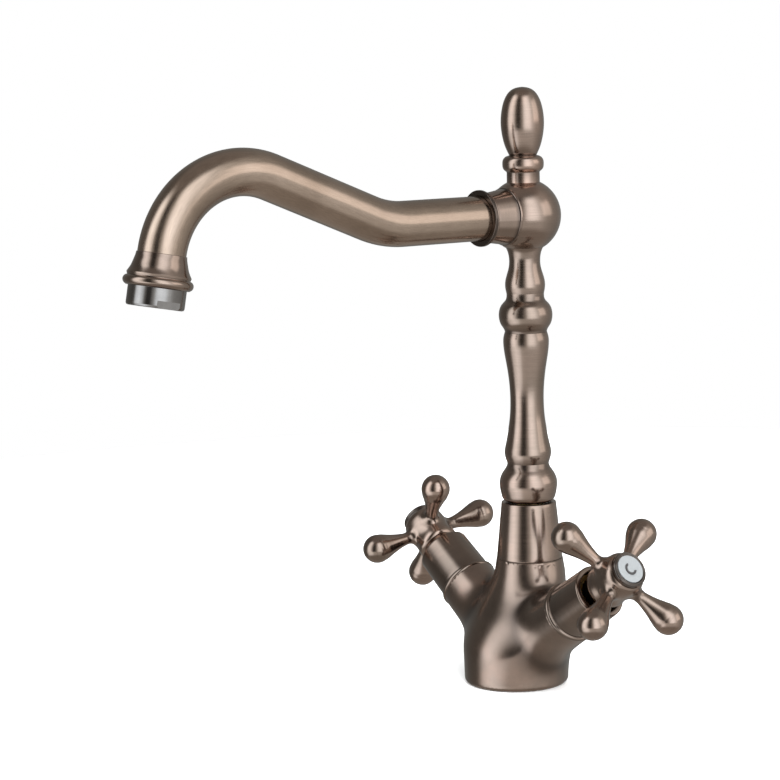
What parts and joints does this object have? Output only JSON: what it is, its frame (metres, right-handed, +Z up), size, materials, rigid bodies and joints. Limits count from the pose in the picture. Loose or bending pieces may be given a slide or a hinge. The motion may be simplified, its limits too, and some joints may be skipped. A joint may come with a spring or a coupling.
{
  "type": "bathroom mixer faucet",
  "caption": "Antique-bronze basin mixer: round body with angled cross-handle valves, a turned column with ball finial, and a swivelling hooked spout with an aerator.",
  "frame": {"origin": "centre of the body's round underside, on the deck the faucet stands on", "axes": "+Z up along the column, -Y towards the basin (the spout's direction at rest), +X towards the cold valve"},
  "size_m": [0.1934, 0.2474, 0.29],
  "materials": {
    "body_bronze": "antique bronze plating over brass, polished",
    "brushed_bronze": "antique bronze plating over brass, fine brushed",
    "spout_bronze": "antique bronze plating over brass, satin",
    "plain_brass": "plain machined",
    "black_rubber": "matte",
    "acetal_washer": "matte",
    "alumina_disc": null,
    "spring_steel": "stainless",
    "dark_nickel": "dark nickel plating, polished",
    "aerator_plastic": "moulded",
    "index_enamel": "gloss off-white",
    "index_ink": "dark printed letter"
  },
  "bodies": {
    "root": {"body_casting": "body_bronze", "base_gasket": "black_rubber", "collar": "brushed_bronze", "thrust_washer": "acetal_washer", "swivel_bush": "acetal_washer", "cold_sleeve": "brushed_bronze", "cold_cartridge_body": "plain_brass", "cold_barrel_o_ring": "black_rubber", "cold_seat_seal": "black_rubber", "cold_fixed_disc": "alumina_disc", "hot_sleeve": "brushed_bronze", "hot_cartridge_body": "plain_brass", "hot_barrel_o_ring": "black_rubber", "hot_seat_seal": "black_rubber", "hot_fixed_disc": "alumina_disc"},
    "swivel": {"swivel_tail": "plain_brass", "tail_o_rings": "black_rubber", "riser_tube": "brushed_bronze", "lower_knop": "brushed_bronze", "baluster": "brushed_bronze", "middle_knop": "brushed_bronze", "bulb_neck": "brushed_bronze", "head_ball": "brushed_bronze", "finial_collar": "brushed_bronze", "finial": "brushed_bronze", "spout_ferrule": "brushed_bronze", "spout_flange": "spout_bronze", "spout_tube": "spout_bronze", "spout_o_rings": "black_rubber", "outlet_bell": "brushed_bronze", "aerator_shell": "dark_nickel", "aerator_washer": "black_rubber", "aerator_insert": "aerator_plastic"},
    "cold_handle": {"cold_moving_disc": "alumina_disc", "cold_spindle": "plain_brass", "cold_spindle_o_ring": "black_rubber", "cold_spindle_clip": "spring_steel", "cold_cross_handle": "brushed_bronze", "cold_handle_screw": "spring_steel", "cold_index_bezel": "brushed_bronze", "cold_index_button": "index_enamel", "cold_index_mark": "index_ink"},
    "hot_handle": {"hot_moving_disc": "alumina_disc", "hot_spindle": "plain_brass", "hot_spindle_o_ring": "black_rubber", "hot_spindle_clip": "spring_steel", "hot_cross_handle": "brushed_bronze", "hot_handle_screw": "spring_steel", "hot_index_bezel": "brushed_bronze", "hot_index_button": "index_enamel", "hot_index_mark": "index_ink"}
  },
  "joints": [
    {"name": "spout_swivel", "type": "hinge", "parent": "root", "child": "swivel", "pos_m": [0, 0.0096, 0.0883], "axis": [0, 0, 1], "continuous": true},
    {"name": "cold_turn", "type": "hinge", "parent": "root", "child": "cold_handle", "pos_m": [0, 0.0024, 0.01435], "axis": [0.8372, 0, 0.5468], "range_deg": [0, 90]},
    {"name": "hot_turn", "type": "hinge", "parent": "root", "child": "hot_handle", "pos_m": [0, 0.0024, 0.01435], "axis": [-0.8372, 0, 0.5468], "range_deg": [0, 90]}
  ]
}
